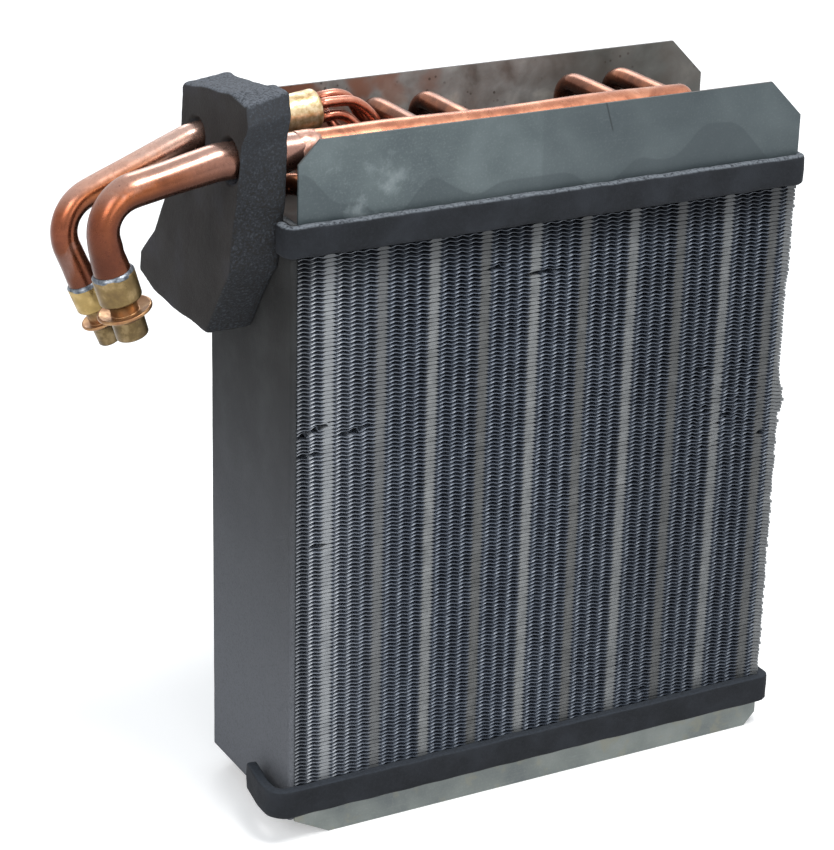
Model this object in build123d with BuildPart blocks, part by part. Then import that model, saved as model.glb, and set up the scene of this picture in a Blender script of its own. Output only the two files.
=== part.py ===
from build123d import *
from math import atan2, ceil, cos, degrees, radians, sin, tan
import os

os.makedirs("parts", exist_ok=True)

# Evaporator core, all sizes in millimetres.
# x runs along the wide face, y from the front face to the back, z up from the feet of the bottom sheet.

# Finned block between the two tube sheets
core_length = 254.0
core_depth = 82.3
fin_thickness = 0.2
fin_pitch = 1.8143

# Folded tube sheets: flat webs with long flanges front and back
sheet_thickness = 1.2
bend_outer_radius = 2.0
bend_inner_radius = 0.8
bottom_web_top = 21.6
top_web_underside = 285.1
top_flange_height = 43.6
top_corner_left = 10.0
top_corner_right = 17.0
bottom_corner_left = (17.4, 9.3)
bottom_corner_right = (6.0, 6.4)

# Tubes: three rows of ten, the middle row shifted by half a pitch
tube_radius = 4.76
tubes_per_row = 10
tube_rows = 3
tube_end_height = 1.0
hairpin_clearance = 0.45
hole_clearance = 0.12

# Repeated thin tubes are drawn with eight flats, and their bends as short mitred pieces of about this turn
tube_flats = 8
mitre_turn = 30.0

# Suction header: its place from the left and right ends, the front face and the tube ends
header_radius = 7.94
header_left_inset = 10.0
header_right_inset = 52.5
header_front_inset = 14.0
header_height = 34.8
header_end_chamfer = 2.4
header_joint_gap = 0.25

# Outlet tubes that bend forward into the header
outlet_bend_radius = 12.0
outlet_rise = 0.5
outlet_lean = -3.0

# Suction pipe: bend places and the top of its fitting, measured (x, z) from the header's left end
suction_radius = 7.94
suction_knee = (-41.0, -0.9)
suction_corner = (-94.0, -11.1)
suction_collar = (-87.5, -42.2)
suction_leg_tilt = 16.45
suction_leg_straight = 8.5
suction_socket_depth = 9.0

# Distributor: a short turned body, its axis rising slightly to the right
distributor_y = 5.8
distributor_left_inset = 8.0
distributor_height = 39.4
distributor_slope = 0.095
distributor_length = 23.1
distributor_radius = 8.8
distributor_joint_gap = 0.25

# Liquid pipe: bend places and the top of its fitting, measured (x, z) from the distributor's left end
liquid_radius = 6.35
liquid_knee = (-36.0, -4.1)
liquid_corner = (-97.9, -28.3)
liquid_collar = (-85.5, -61.3)
liquid_leg_tilt = 22.65
liquid_leg_straight = 18.0
liquid_socket_depth = 8.0
pipe_bend_radius = 17.0

# Four thin lines from the distributor to reducers on four tube ends
line_radius = 2.38
line_circle_radius = 4.6
line_bend_radius = 7.0
line_run_height = 25.3
line_drop_height = 21.7
reducer_height = 8.0
reducer_collar_height = 2.6

# Foam pieces
pad_thickness = 3.0
pad_bottom = 10.6
pad_above_web = 9.5
belt_thickness = 5.0
belt_corner_radius = 5.0
belt_wrap = 28.15
short_belt_wrap = 5.55
belt_bulge = 1.6
belt_bulge_inset = 12.15
top_belt_height = 14.0
bottom_belt_bottom = 14.4
bottom_belt_height = 13.7
block_width = 22.0
block_hole_clearance = 1.5

# Foam block outline (y, height above the pad's top edge)
block_outline = [
    (-43.5, 53.6), (-46.3, 45.3), (-39.6, 36.3), (-36.4, 21.4), (-34.0, 8.4), (-31.0, 0.4),
    (-27.0, -22.6), (-15.0, -38.6), (-1.0, -58.1), (36.4, -58.0), (55.3, -56.6), (71.6, -51.7),
    (69.6, -42.5), (54.3, -28.0), (42.6, -10.3), (22.1, 27.3), (20.5, 48.4), (2.0, 51.9),
    (-16.0, 54.0), (-28.0, 56.0),
]

# Values worked out from the sizes above
half_length = core_length / 2
half_depth = core_depth / 2
front_face = -half_depth
bottom_web_underside = bottom_web_top - sheet_thickness
top_web_top = top_web_underside + sheet_thickness
top_flange_top = top_web_top + top_flange_height
column_pitch = core_length / tubes_per_row
row_pitch = core_depth / tube_rows
row_y = {"back": row_pitch, "middle": 0.0, "front": -row_pitch}
outer_row_x = column_pitch * 0.75 - half_length
middle_row_x = column_pitch * 0.25 - half_length
row_first_x = {"back": outer_row_x, "middle": middle_row_x, "front": outer_row_x}
tube_top = top_web_top + tube_end_height
flat_distance = tube_radius * cos(radians(180 / tube_flats))
fin_count = int((top_web_underside - bottom_web_top) / fin_pitch)
fin_stack = (fin_count - 1) * fin_pitch + fin_thickness
first_fin_z = (bottom_web_top + top_web_underside - fin_stack) / 2
header_left = header_left_inset - half_length
header_right = half_length - header_right_inset
header_y = front_face + header_front_inset
header_z = tube_top + header_height
outlet_z = header_z + outlet_rise
distributor_left = distributor_left_inset - half_length
distributor_left_z = tube_top + distributor_height
distributor_start = Vector(distributor_left, distributor_y, distributor_left_z)
distributor_direction = Vector(1, 0, distributor_slope).normalized()
line_run = tube_top + line_run_height
pad_left = -half_length - pad_thickness
pad_top = top_web_underside + pad_above_web
block_left = pad_left - block_width


def tube_place(row, number):
    """Centre (x, y) of one tube, counted from the left."""
    return row_first_x[row] + (number - 1) * column_pitch, row_y[row]


def mitred_points(corners, bend_radius):
    """Points of a path whose round bends are short straight pieces that touch the true arc."""
    corners = [Vector(*corner) for corner in corners]
    points = [corners[0]]
    for before, corner, after in zip(corners, corners[1:], corners[2:]):
        arriving = (corner - before).normalized()
        leaving = (after - corner).normalized()
        turn = radians(arriving.get_angle(leaving))
        pieces = max(1, ceil(degrees(turn) / mitre_turn - 0.01))
        step = turn / pieces
        inward = (leaving - arriving * cos(turn)).normalized()
        arc_start = corner - arriving * (bend_radius * tan(turn / 2))
        centre = arc_start + inward * bend_radius
        reach = bend_radius / cos(step / 2)
        for index in range(pieces):
            angle = (index + 0.5) * step
            points.append(centre - inward * (reach * cos(angle)) + arriving * (reach * sin(angle)))
    points.append(corners[-1])
    return points


def flat_plane(y):
    """Upright plane at one depth, drawn in (x, z)."""
    return Plane(origin=(0, y, 0), x_dir=(1, 0, 0), z_dir=(0, -1, 0))


def offset_point(start, offset):
    """Point (x, z) at an offset from a starting point."""
    return start[0] + offset[0], start[1] + offset[1]


def along_leg(point, tilt, distance):
    """Point (x, z) further down a hanging pipe leg; a negative distance goes up it."""
    return point[0] + distance * sin(radians(tilt)), point[1] - distance * cos(radians(tilt))


def fitting_plane(point, y, tilt):
    """Plane at the top of a fitting, with its own y axis running down the leg."""
    down = Vector(sin(radians(tilt)), 0, -cos(radians(tilt)))
    return Plane(origin=(point[0], y, point[1]), x_dir=(down.Z, 0, -down.X), z_dir=(0, -1, 0))


# Which tube ends are joined below and above, as (row, number from the left)
hairpin_pairs = [(("back", k), ("back", k + 1)) for k in (2, 4, 6, 8)]
hairpin_pairs += [(("middle", k), ("middle", k + 1)) for k in (2, 4, 6, 8)]
hairpin_pairs += [(("front", k), ("front", k + 1)) for k in (1, 3, 5, 7, 9)]
hairpin_pairs += [(("back", 1), ("middle", 1)), (("back", 10), ("middle", 10))]
return_pairs = [
    (("back", 1), ("back", 2)), (("middle", 1), ("front", 1)), (("front", 2), ("middle", 2)),
    (("back", 5), ("middle", 5)), (("middle", 4), ("front", 3)), (("front", 4), ("front", 5)),
    (("back", 6), ("middle", 6)), (("middle", 7), ("front", 7)), (("back", 9), ("back", 10)),
    (("middle", 10), ("front", 10)), (("front", 9), ("middle", 9)),
]
outlet_numbers = (3, 4, 7, 8)
inlet_tubes = [("middle", 3), ("front", 6), ("front", 8), ("middle", 8)]


# Fins: thin plates with one window round the tube bundle; the window edges touch the outer tube rows
window_length = 2 * (tube_place("front", tubes_per_row)[0] + tube_radius + hole_clearance)
window_depth = 2 * (row_pitch + flat_distance)
with BuildPart() as one_fin:
    with BuildSketch(Plane.XY.offset(first_fin_z)):
        Rectangle(core_length, core_depth)
        Rectangle(window_length, window_depth, mode=Mode.SUBTRACT)
    extrude(amount=fin_thickness)

with BuildPart() as fins:
    with Locations([(0, 0, index * fin_pitch) for index in range(fin_count)]):
        add(one_fin.part)
fins.part.label = "fins"
export_step(fins.part, "parts/fins.step")


# Both webs have one hole for every tube, turned like the tube that passes through
hole_places = []
for first, second in hairpin_pairs:
    first_x, first_y = tube_place(*first)
    second_x, second_y = tube_place(*second)
    slant = degrees(atan2(second_y - first_y, second_x - first_x))
    hole_places.append(Location((first_x, first_y, 0), (0, 0, 180 / tube_flats)))
    hole_places.append(Location((second_x, second_y, 0), (0, 0, 180 / tube_flats + 2 * slant)))


# Bottom tube sheet: web on top, flanges down, corners cut at the feet
left_wide, left_high = bottom_corner_left
right_wide, right_high = bottom_corner_right
with BuildPart() as bottom_sheet:
    with BuildSketch(flat_plane(half_depth)):
        with BuildLine():
            Polyline(
                (-half_length, bottom_web_top), (half_length, bottom_web_top), (half_length, right_high),
                (half_length - right_wide, 0), (left_wide - half_length, 0), (-half_length, left_high),
                close=True,
            )
        make_face()
    extrude(amount=core_depth)
    with BuildSketch(Plane.YZ.offset(-half_length)):
        with Locations((0, bottom_web_underside / 2)):
            Rectangle(core_depth - 2 * sheet_thickness, bottom_web_underside)
    extrude(amount=core_length, mode=Mode.SUBTRACT)
    long_edges = bottom_sheet.edges().filter_by(Axis.X)
    fillet(long_edges.group_by(Axis.Z)[-1], radius=bend_outer_radius)
    long_edges = bottom_sheet.edges().filter_by(Axis.X).filter_by_position(
        Axis.Z, bottom_web_underside - 0.01, bottom_web_underside + 0.01)
    fillet(long_edges, radius=bend_inner_radius)
    with BuildSketch(Plane.XY.offset(bottom_web_underside)):
        with Locations(hole_places):
            RegularPolygon(tube_radius + hole_clearance, tube_flats)
    extrude(amount=sheet_thickness, mode=Mode.SUBTRACT)
bottom_sheet.part.label = "bottom_tube_sheet"
export_step(bottom_sheet.part, "parts/bottom_tube_sheet.step")


# Top tube sheet: web below, tall flanges up, upper corners cut
with BuildPart() as top_sheet:
    with BuildSketch(flat_plane(half_depth)):
        with BuildLine():
            Polyline(
                (-half_length, top_web_underside), (half_length, top_web_underside),
                (half_length, top_flange_top - top_corner_right),
                (half_length - top_corner_right, top_flange_top),
                (top_corner_left - half_length, top_flange_top),
                (-half_length, top_flange_top - top_corner_left),
                close=True,
            )
        make_face()
    extrude(amount=core_depth)
    with BuildSketch(Plane.YZ.offset(-half_length)):
        with Locations((0, (top_web_top + top_flange_top) / 2)):
            Rectangle(core_depth - 2 * sheet_thickness, top_flange_top - top_web_top)
    extrude(amount=core_length, mode=Mode.SUBTRACT)
    long_edges = top_sheet.edges().filter_by(Axis.X)
    fillet(long_edges.group_by(Axis.Z)[0], radius=bend_outer_radius)
    long_edges = top_sheet.edges().filter_by(Axis.X).filter_by_position(
        Axis.Z, top_web_top - 0.01, top_web_top + 0.01)
    fillet(long_edges, radius=bend_inner_radius)
    with BuildSketch(Plane.XY.offset(top_web_underside)):
        with Locations(hole_places):
            RegularPolygon(tube_radius + hole_clearance, tube_flats)
    extrude(amount=sheet_thickness, mode=Mode.SUBTRACT)
top_sheet.part.label = "top_tube_sheet"
export_step(top_sheet.part, "parts/top_tube_sheet.step")


# Hairpin tubes: two long legs and a bend under the bottom web
with BuildPart() as hairpins:
    for first, second in hairpin_pairs:
        first_x, first_y = tube_place(*first)
        second_x, second_y = tube_place(*second)
        bend_radius = Vector(second_x - first_x, second_y - first_y).length / 2
        lowest = bottom_web_underside - hairpin_clearance - bend_radius
        corners = [
            (first_x, first_y, tube_top), (first_x, first_y, lowest),
            (second_x, second_y, lowest), (second_x, second_y, tube_top),
        ]
        with BuildLine() as hairpin_line:
            Polyline(*mitred_points(corners, bend_radius))
        with BuildSketch(Plane(origin=corners[0], x_dir=(1, 0, 0), z_dir=(0, 0, -1))):
            RegularPolygon(tube_radius, tube_flats, rotation=180 / tube_flats)
        sweep(path=hairpin_line.wires()[0], transition=Transition.RIGHT)
hairpins.part.label = "hairpin_tubes"
export_step(hairpins.part, "parts/hairpin_tubes.step")


# Return bends: half rings joining tube ends above the top web
with BuildPart() as return_bends:
    for first, second in return_pairs:
        first_x, first_y = tube_place(*first)
        second_x, second_y = tube_place(*second)
        slant = degrees(atan2(second_y - first_y, second_x - first_x))
        bend_radius = Vector(second_x - first_x, second_y - first_y).length / 2
        highest = tube_top + bend_radius
        corners = [
            (first_x, first_y, tube_top), (first_x, first_y, highest),
            (second_x, second_y, highest), (second_x, second_y, tube_top),
        ]
        with BuildLine() as bend_line:
            Polyline(*mitred_points(corners, bend_radius))
        with BuildSketch(Plane(origin=corners[0], x_dir=(1, 0, 0), z_dir=(0, 0, 1))):
            RegularPolygon(tube_radius, tube_flats, rotation=180 / tube_flats + slant)
        sweep(path=bend_line.wires()[0], transition=Transition.RIGHT)
return_bends.part.label = "return_bends"
export_step(return_bends.part, "parts/return_bends.step")


# Suction header: one straight tube with a closed, slightly drawn-in right end
with BuildPart() as header:
    with BuildSketch(Plane(origin=(header_left, header_y, header_z), z_dir=(1, 0, 0))):
        Circle(header_radius)
    extrude(amount=header_right - header_left)
    chamfer(header.faces().sort_by(Axis.X)[-1].edges(), length=header_end_chamfer)
header.part.label = "suction_header"
export_step(header.part, "parts/suction_header.step")


# Outlet tubes: rise from the back row, leaning left a little, bend forward and end on the header
with BuildPart() as one_outlet:
    corners = [
        (0, row_y["back"], tube_top), (outlet_lean, row_y["back"], outlet_z),
        (outlet_lean, header_y, outlet_z),
    ]
    with BuildLine() as outlet_line:
        Polyline(*mitred_points(corners, outlet_bend_radius))
    with BuildSketch(Plane(origin=corners[0], x_dir=(1, 0, 0), z_dir=(0, 0, 1))):
        RegularPolygon(tube_radius, tube_flats, rotation=180 / tube_flats)
    sweep(path=outlet_line.wires()[0], transition=Transition.RIGHT)

with BuildPart() as outlets:
    with Locations([(tube_place("back", number)[0], 0, 0) for number in outlet_numbers]):
        add(one_outlet.part)
    add(header.part, mode=Mode.SUBTRACT)
outlets.part.label = "outlet_tubes"
export_step(outlets.part, "parts/outlet_tubes.step")


# Suction pipe: leaves the header to the left, turns down and ends inside its fitting
header_end = (header_left, header_z)
suction_collar_top = offset_point(header_end, suction_collar)
with BuildPart() as suction_pipe:
    with BuildLine(flat_plane(header_y)) as suction_line:
        FilletPolyline(
            (header_left - header_joint_gap, header_z), offset_point(header_end, suction_knee),
            offset_point(header_end, suction_corner),
            along_leg(suction_collar_top, suction_leg_tilt, -suction_leg_straight),
            along_leg(suction_collar_top, suction_leg_tilt, suction_socket_depth),
            radius=pipe_bend_radius,
        )
    suction_path = suction_line.wires()[0]
    with BuildSketch(Plane(origin=suction_path @ 0, z_dir=suction_path % 0)):
        Circle(suction_radius)
    sweep(path=suction_path)
suction_pipe.part.label = "suction_pipe"
export_step(suction_pipe.part, "parts/suction_pipe.step")


# Solder bead round the joint of header and suction pipe
joint_inner_radius = header_radius + header_joint_gap
with BuildPart() as header_solder:
    with BuildSketch(flat_plane(header_y)):
        with BuildLine():
            Polyline(
                (header_left - 6, header_z + joint_inner_radius),
                (header_left - 6, header_z + joint_inner_radius + 0.2),
                (header_left - 1, header_z + joint_inner_radius + 0.6),
                (header_left + 5, header_z + joint_inner_radius + 0.2),
                (header_left + 5, header_z + joint_inner_radius), close=True,
            )
        make_face()
    revolve(axis=Axis((0, header_y, header_z), (1, 0, 0)))
header_solder.part.label = "header_solder_joint"
export_step(header_solder.part, "parts/header_solder_joint.step")


# Suction fitting: collar, narrow neck, dished flange and open barrel, turned about the leg
suction_plane = fitting_plane(suction_collar_top, header_y, suction_leg_tilt)
suction_axis = Axis(suction_plane.origin, suction_plane.y_dir)
suction_collar_radius = suction_radius + 1.2
with BuildPart() as suction_fitting:
    with BuildSketch(suction_plane):
        with BuildLine():
            Polyline(
                (suction_radius, 0), (suction_collar_radius, 0), (suction_collar_radius, 11.6),
                (suction_collar_radius - 0.5, 12.1), (6.2, 13.0), (6.0, 18.6), (11.3, 16.6), (11.85, 17.0),
                (11.85, 18.0), (7.0, 20.6), (7.0, 29.0), (6.2, 29.6), (5.2, 29.6),
                (5.2, suction_socket_depth), (suction_radius, suction_socket_depth), close=True,
            )
        make_face()
    revolve(axis=suction_axis)
suction_fitting.part.label = "suction_fitting"
export_step(suction_fitting.part, "parts/suction_fitting.step")

with BuildPart() as suction_solder:
    with BuildSketch(suction_plane):
        with BuildLine():
            Polyline(
                (suction_radius, -1.4), (suction_radius + 0.4, -1.4), (suction_collar_radius, 0),
                (suction_radius, 0), close=True,
            )
        make_face()
    revolve(axis=suction_axis)
suction_solder.part.label = "suction_solder_ring"
export_step(suction_solder.part, "parts/suction_solder_ring.step")


# Distributor: slightly wider at the line side
distributor_plane = Plane(origin=distributor_start, x_dir=distributor_direction, z_dir=(0, -1, 0))
with BuildPart() as distributor:
    with BuildSketch(distributor_plane):
        with BuildLine():
            Polyline(
                (0, 0), (0, distributor_radius - 1.2), (0.8, distributor_radius - 0.6),
                (distributor_length - 0.8, distributor_radius),
                (distributor_length, distributor_radius - 0.7), (distributor_length, 0), close=True,
            )
        make_face()
    revolve(axis=Axis(distributor_start, distributor_direction))
distributor.part.label = "distributor"
export_step(distributor.part, "parts/distributor.step")


# Liquid pipe: leaves the distributor to the left, turns down and ends inside its fitting
distributor_end = (distributor_left, distributor_left_z)
liquid_collar_top = offset_point(distributor_end, liquid_collar)
with BuildPart() as liquid_pipe:
    with BuildLine(flat_plane(distributor_y)) as liquid_line:
        FilletPolyline(
            (distributor_left - distributor_joint_gap, distributor_left_z),
            offset_point(distributor_end, liquid_knee), offset_point(distributor_end, liquid_corner),
            along_leg(liquid_collar_top, liquid_leg_tilt, -liquid_leg_straight),
            along_leg(liquid_collar_top, liquid_leg_tilt, liquid_socket_depth),
            radius=pipe_bend_radius,
        )
    liquid_path = liquid_line.wires()[0]
    with BuildSketch(Plane(origin=liquid_path @ 0, z_dir=liquid_path % 0)):
        Circle(liquid_radius)
    sweep(path=liquid_path)
liquid_pipe.part.label = "liquid_pipe"
export_step(liquid_pipe.part, "parts/liquid_pipe.step")


# Liquid fitting: the same kind as the suction fitting, one size smaller
liquid_plane = fitting_plane(liquid_collar_top, distributor_y, liquid_leg_tilt)
liquid_axis = Axis(liquid_plane.origin, liquid_plane.y_dir)
liquid_collar_radius = liquid_radius + 1.1
with BuildPart() as liquid_fitting:
    with BuildSketch(liquid_plane):
        with BuildLine():
            Polyline(
                (liquid_radius, 0), (liquid_collar_radius, 0), (liquid_collar_radius, 11.4),
                (liquid_collar_radius - 0.4, 11.8), (4.9, 12.8), (4.7, 19.6), (8.0, 18.0), (8.4, 18.4),
                (8.4, 19.2), (4.9, 21.4), (4.9, 29.4), (4.3, 30.0), (3.5, 30.0),
                (3.5, liquid_socket_depth), (liquid_radius, liquid_socket_depth), close=True,
            )
        make_face()
    revolve(axis=liquid_axis)
liquid_fitting.part.label = "liquid_fitting"
export_step(liquid_fitting.part, "parts/liquid_fitting.step")

with BuildPart() as liquid_solder:
    with BuildSketch(liquid_plane):
        with BuildLine():
            Polyline(
                (liquid_radius, -1.2), (liquid_radius + 0.4, -1.2), (liquid_collar_radius, 0),
                (liquid_radius, 0), close=True,
            )
        make_face()
    revolve(axis=liquid_axis)
liquid_solder.part.label = "liquid_solder_ring"
export_step(liquid_solder.part, "parts/liquid_solder_ring.step")


# Inlet reducers: sit on four tube ends and narrow down to the thin lines
line_foot = tube_top + reducer_height
with BuildPart() as reducers:
    for inlet in inlet_tubes:
        inlet_x, inlet_y = tube_place(*inlet)
        with BuildSketch(flat_plane(inlet_y)):
            with BuildLine():
                Polyline(
                    (inlet_x, tube_top), (inlet_x + tube_radius, tube_top),
                    (inlet_x + tube_radius, tube_top + reducer_collar_height),
                    (inlet_x + line_radius + 0.3, line_foot), (inlet_x, line_foot), close=True,
                )
            make_face()
        revolve(axis=Axis((inlet_x, inlet_y, 0), (0, 0, 1)))
reducers.part.label = "inlet_reducers"
export_step(reducers.part, "parts/inlet_reducers.step")


# Thin lines: each leaves the distributor face, bends down and ends on its reducer. A route is given as bends
# measured from the middle of the face, then bends measured from its own tube, as heights above the tube ends
face_centre = distributor_start + distributor_direction * distributor_length
face_across = Vector(0, 1, 0)
face_up = Vector(-distributor_direction.Z, 0, distributor_direction.X)
line_routes = [
    ("thin_line_middle_right", 53, 16.0, ("middle", 8),
     [(23.2, 2.6, -6.9), (29.0, 1.6, None)], [(-9.15, 7.4, line_run_height), (0, 0, line_drop_height)]),
    ("thin_line_middle_left", 143, 6.0, ("middle", 3),
     [(19.0, -3.6, 2.5)], [(4.25, 0.8, 30.2), (3.85, 0.4, 20.7), (0, 0, 15.7)]),
    ("thin_line_front_right", 233, 12.0, ("front", 8),
     [(20.0, -5.2, -11.4), (30.0, -14.8, None)], [(-11.85, 18.4, line_run_height), (0, 0, line_drop_height)]),
    ("thin_line_front_middle", 323, 6.0, ("front", 6),
     [(11.0, -0.8, -12.4), (22.0, -20.8, None)], [(-10.05, 12.4, line_run_height), (0, 0, line_drop_height)]),
]
for line_name, hole_angle, straight, inlet, near_face, near_inlet in line_routes:
    across = line_circle_radius * cos(radians(hole_angle))
    up = line_circle_radius * sin(radians(hole_angle))
    line_start = face_centre + face_across * across + face_up * up
    first_bend = line_start + distributor_direction * straight
    inlet_x, inlet_y = tube_place(*inlet)
    corners = [line_start, first_bend]
    for x_step, y_step, z_step in near_face:
        bend_z = line_run if z_step is None else face_centre.Z + z_step
        corners.append((face_centre.X + x_step, face_centre.Y + y_step, bend_z))
    for x_step, y_step, height in near_inlet:
        corners.append((inlet_x + x_step, inlet_y + y_step, tube_top + height))
    corners.append((inlet_x, inlet_y, line_foot))
    with BuildPart() as thin_line:
        with BuildLine() as line_path:
            Polyline(*mitred_points(corners, line_bend_radius))
        with BuildSketch(Plane(origin=line_start, x_dir=(0, 1, 0), z_dir=distributor_direction)):
            RegularPolygon(line_radius, tube_flats, rotation=180 / tube_flats)
        sweep(path=line_path.wires()[0], transition=Transition.RIGHT)
    thin_line.part.label = line_name
    export_step(thin_line.part, "parts/" + line_name + ".step")


# Foam block round the two pipes, cut straight through, with loose holes along the pipes
with BuildPart() as foam_block:
    with BuildSketch(Plane.YZ.offset(block_left)):
        with BuildLine():
            Polyline(*[(outline_y, pad_top + height) for outline_y, height in block_outline], close=True)
        make_face()
    extrude(amount=block_width)
    for pipe_y, pipe_end, pipe_knee, pipe_radius in (
        (header_y, header_end, suction_knee, suction_radius),
        (distributor_y, distributor_end, liquid_knee, liquid_radius),
    ):
        knee_x, knee_z = offset_point(pipe_end, pipe_knee)
        rise = (pipe_end[1] - knee_z) / (pipe_end[0] - knee_x)
        hole_direction = Vector(1, 0, rise).normalized()
        hole_start = Vector(block_left - 5, pipe_y, pipe_end[1] + rise * (block_left - 5 - pipe_end[0]))
        with BuildSketch(Plane(origin=hole_start, z_dir=hole_direction)):
            Circle(pipe_radius + block_hole_clearance)
        extrude(amount=block_width + 10, mode=Mode.SUBTRACT)
foam_block.part.label = "pipe_foam_block"
export_step(foam_block.part, "parts/pipe_foam_block.step")


# Thin pad glued over the whole left side
with BuildPart() as side_pad:
    with BuildSketch(Plane.YZ.offset(pad_left)):
        with Locations((0, (pad_bottom + pad_top) / 2)):
            Rectangle(core_depth, pad_top - pad_bottom)
    extrude(amount=pad_thickness)
side_pad.part.label = "side_pad"
export_step(side_pad.part, "parts/side_pad.step")


# Foam belts: along the front face and round both front corners
belt_left = pad_left - belt_thickness
belt_right = half_length + belt_thickness
belt_front = front_face - belt_thickness
belt_end = front_face + belt_wrap
short_belt_end = front_face + short_belt_wrap
bulge_y = front_face + belt_bulge_inset
with BuildPart() as top_belt:
    with BuildSketch(Plane.XY.offset(pad_top - top_belt_height)) as belt_outline:
        with BuildLine():
            Polyline(
                (belt_left, short_belt_end), (belt_left, belt_front), (belt_right, belt_front),
                (belt_right, belt_end), (half_length, belt_end), (half_length, front_face),
                (pad_left, front_face), (pad_left, short_belt_end), close=True,
            )
        make_face()
        fillet(belt_outline.vertices().group_by(Axis.Y)[0], radius=belt_corner_radius)
    extrude(amount=top_belt_height)
top_belt.part.label = "top_belt"
export_step(top_belt.part, "parts/top_belt.step")

with BuildPart() as bottom_belt:
    with BuildSketch(Plane.XY.offset(bottom_belt_bottom)) as belt_outline:
        with BuildLine():
            Polyline(
                (belt_left, belt_end), (belt_left - belt_bulge, bulge_y), (belt_left, belt_front),
                (belt_right, belt_front), (belt_right, belt_end), (half_length, belt_end),
                (half_length, front_face), (pad_left, front_face), (pad_left, belt_end), close=True,
            )
        make_face()
        fillet(belt_outline.vertices().group_by(Axis.Y)[0], radius=belt_corner_radius)
    extrude(amount=bottom_belt_height)
bottom_belt.part.label = "bottom_belt"
export_step(bottom_belt.part, "parts/bottom_belt.step")
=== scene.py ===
from math import cos, pi, radians, sin, tan

import bpy
import numpy as np
from mathutils import Matrix


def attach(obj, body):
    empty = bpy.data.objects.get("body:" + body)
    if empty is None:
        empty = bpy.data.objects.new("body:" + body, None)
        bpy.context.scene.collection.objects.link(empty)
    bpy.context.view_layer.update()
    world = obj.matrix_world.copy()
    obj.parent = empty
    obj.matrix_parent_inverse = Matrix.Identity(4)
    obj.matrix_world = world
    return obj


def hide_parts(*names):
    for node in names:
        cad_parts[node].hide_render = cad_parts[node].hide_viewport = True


# Evaporator core. Sizes are in millimetres here and become metres where a mesh is made.
MM = 0.001

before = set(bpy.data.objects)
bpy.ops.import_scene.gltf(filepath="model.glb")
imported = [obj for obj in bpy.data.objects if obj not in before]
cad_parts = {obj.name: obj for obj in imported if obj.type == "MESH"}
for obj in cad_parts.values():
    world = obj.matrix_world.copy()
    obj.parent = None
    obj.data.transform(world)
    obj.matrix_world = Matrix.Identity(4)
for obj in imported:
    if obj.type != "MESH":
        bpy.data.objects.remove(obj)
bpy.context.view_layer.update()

# Sizes shared with the solids
HALF_LENGTH = 127.0
HALF_DEPTH = 41.15
FIN_COUNT = 145
FIN_PITCH = 1.8143
FIRST_FIN_Z = 22.72
TUBE_PITCH = 25.4
TUBE_RADIUS = 4.76
TUBE_TOP = 287.3
BOTTOM_WEB = 20.4
ROW_Y = {"back": 27.433, "middle": 0.0, "front": -27.433}
ROW_X = {"back": -107.95, "middle": -120.65, "front": -107.95}
HEADER = (-117.0, -27.15, 322.1)
HEADER_RIGHT = 74.5
HEADER_RADIUS = 7.94
DISTRIBUTOR = (-119.0, 5.8, 326.7)
DISTRIBUTOR_LENGTH = 23.1
DISTRIBUTOR_SLOPE = 0.095
LINE_RADIUS = 2.38
REDUCER_HEIGHT = 8.0


def unit(vector):
    """Vector divided by its own length, along the last axis."""
    vector = np.asarray(vector, float)
    return vector / np.linalg.norm(vector, axis=-1, keepdims=True)


def waviness(points, wavelength, seed):
    """Smooth irregular height between about -1 and 1.

    The mean of twelve sine waves sin(k . p + phase), with random directions, phases and lengths, times 2.4.
    """
    source = np.random.default_rng(seed)
    headings = unit(source.normal(size=(12, 3)))
    directions = headings * (2 * pi / (wavelength * source.uniform(0.7, 1.5, (12, 1))))
    phases = source.uniform(0, 2 * pi, 12)
    return np.sin(points @ directions.T + phases).mean(axis=-1) * 2.4


def piece_from(name, points, quads, triangles, smooth=True):
    """Mesh object from millimetre points and faces.

    The faces are turned outward by the sign of the volume that they enclose.
    """
    points = np.asarray(points, float)
    corners = points[quads]
    volume = np.einsum("ij,ij->", corners[:, 0], np.cross(corners[:, 1], corners[:, 2]))
    volume += np.einsum("ij,ij->", corners[:, 0], np.cross(corners[:, 2], corners[:, 3]))
    if len(triangles):
        corners = points[triangles]
        volume += np.einsum("ij,ij->", corners[:, 0], np.cross(corners[:, 1], corners[:, 2]))
    if volume < 0:
        quads = quads[:, ::-1]
        triangles = triangles[:, ::-1]
    mesh = bpy.data.meshes.new(name)
    mesh.from_pydata((points * MM).tolist(), [], quads.tolist() + triangles.tolist())
    mesh.polygons.foreach_set("use_smooth", np.full(len(mesh.polygons), smooth))
    mesh.update()
    piece = bpy.data.objects.new(name, mesh)
    bpy.context.scene.collection.objects.link(piece)
    return piece


def store(piece, label, values):
    """Writes one value for each point of a piece into a named attribute."""
    layer = piece.data.attributes.new(label, "FLOAT", "POINT")
    layer.data.foreach_set("value", np.ascontiguousarray(values, dtype=np.float32))


def mark_along(piece, share, columns):
    """Stores on every ring of points how far along the piece it lies, from 0 to 1.

    The middle points of the end fans take the end values.
    """
    values = np.concatenate([np.repeat(share, columns), [share[0], share[-1]]])
    store(piece, "along", values[:len(piece.data.vertices)])
    return piece


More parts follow.
